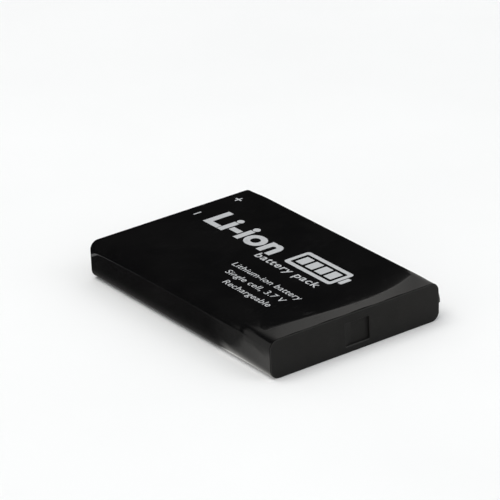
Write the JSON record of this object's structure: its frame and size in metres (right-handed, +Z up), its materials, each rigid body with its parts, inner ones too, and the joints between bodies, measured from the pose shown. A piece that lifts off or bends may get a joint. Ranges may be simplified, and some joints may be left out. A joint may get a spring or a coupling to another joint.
{
  "type": "rechargeable battery pack",
  "caption": "Slim rectangular rechargeable battery pack: glossy black film wrap, moulded end caps with recessed contacts, and a flat-wound pouch cell with its protection board inside.",
  "frame": {"origin": "centre of the pack's bottom face", "axes": "+Z up through the thickness; Y along the length, with the plain base cap at -Y and the contact cap at +Y; X across the width, with the film's lap at +X"},
  "size_m": [0.0353, 0.053, 0.007],
  "materials": {
    "label_film": "glossy black printed film, shrunk and lapped on one side",
    "cap_plastic": "black moulded plastic, fine satin texture",
    "rail_plastic": "black moulded plastic",
    "contact_gold": "gold flash over nickel, light wipe marks",
    "stiffener_sheet": "dark plastic sheet",
    "adhesive_film": "double-sided adhesive film",
    "foam": "soft black foam",
    "pouch_laminate": "aluminium laminate, satin",
    "cathode_coating": "metal-oxide coating on aluminium foil, matt black",
    "anode_coating": "graphite coating on copper foil, matt dark grey",
    "separator": "white porous plastic film",
    "roll_tape": "green plastic tape",
    "aluminium_foil": "bare aluminium tab",
    "nickel": "bare nickel strip",
    "tab_sealant": "translucent cream plastic",
    "fibre_paper": "grey-green insulating fibre paper",
    "polyimide_tape": "amber plastic tape",
    "board_laminate": "green circuit-board laminate",
    "chip_epoxy": "black moulded epoxy",
    "resistor_body": "dark coated ceramic",
    "capacitor_ceramic": "tan fired ceramic"
  },
  "bodies": {
    "root": {"label_wrap": "label_film", "base_end_cap": "cap_plastic", "contact_end_cap": "cap_plastic", "contact_negative": "contact_gold", "contact_thermistor": "contact_gold", "contact_positive": "contact_gold", "side_rail_right": "rail_plastic", "side_rail_left": "rail_plastic", "stiffener_sheet_top": "stiffener_sheet", "stiffener_sheet_bottom": "stiffener_sheet", "adhesive_sheet_top": "adhesive_film", "adhesive_sheet_bottom": "adhesive_film", "base_foam_pad": "foam", "pouch_cup": "pouch_laminate", "pouch_cover": "pouch_laminate", "cathode_sheet": "cathode_coating", "separator_inner": "separator", "anode_sheet": "anode_coating", "separator_outer": "separator", "roll_closing_tape": "roll_tape", "cathode_tab": "aluminium_foil", "anode_tab": "nickel", "cathode_tab_sealant": "tab_sealant", "anode_tab_sealant": "tab_sealant", "terrace_insulator": "fibre_paper", "tab_insulation_tape": "polyimide_tape", "protection_board": "board_laminate", "protection_ic": "chip_epoxy", "mosfet_pair": "chip_epoxy", "sense_resistor": "resistor_body", "filter_resistor": "resistor_body", "gate_resistor": "resistor_body", "filter_capacitor": "capacitor_ceramic", "bypass_capacitor": "capacitor_ceramic", "thermistor": "capacitor_ceramic", "nickel_strip_positive": "nickel", "cutoff_lead": "nickel", "thermal_cutoff": "chip_epoxy", "nickel_strip_negative": "nickel"}
  },
  "joints": []
}
